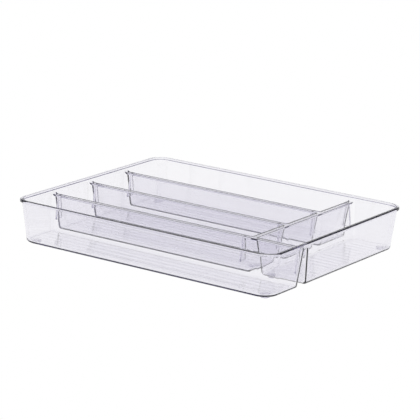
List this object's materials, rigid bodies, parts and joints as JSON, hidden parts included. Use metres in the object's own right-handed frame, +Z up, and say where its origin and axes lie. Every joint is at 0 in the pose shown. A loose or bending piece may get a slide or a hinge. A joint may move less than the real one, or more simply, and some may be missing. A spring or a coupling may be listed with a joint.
{
  "type": "drawer organizer tray",
  "caption": "Clear moulded drawer organizer tray with long side-by-side compartments, a crosswise compartment, hollow dividers and non-slip feet.",
  "frame": {"origin": "middle of the footprint, on the surface that the feet stand on", "axes": "+X along the length, towards the crosswise compartment; +Y from the front to the back; +Z up"},
  "size_m": [0.35, 0.28, 0.0525],
  "materials": {
    "clear_shell": "clear, polished, faint violet tint",
    "clear_foot": "clear soft plastic, satin"
  },
  "bodies": {
    "root": {"rim_band": "clear_shell", "front_compartment": "clear_shell", "left_front_compartment": "clear_shell", "left_middle_compartment": "clear_shell", "left_back_compartment": "clear_shell", "right_compartment": "clear_shell", "front_ridge": "clear_shell", "middle_ridge": "clear_shell", "back_ridge": "clear_shell", "cross_ridge": "clear_shell", "stiffening_webs": "clear_shell", "foot_front_left": "clear_foot", "foot_front_right": "clear_foot", "foot_back_left": "clear_foot", "foot_back_right": "clear_foot", "foot_right_compartment": "clear_foot", "foot_left_compartment": "clear_foot"}
  },
  "joints": []
}
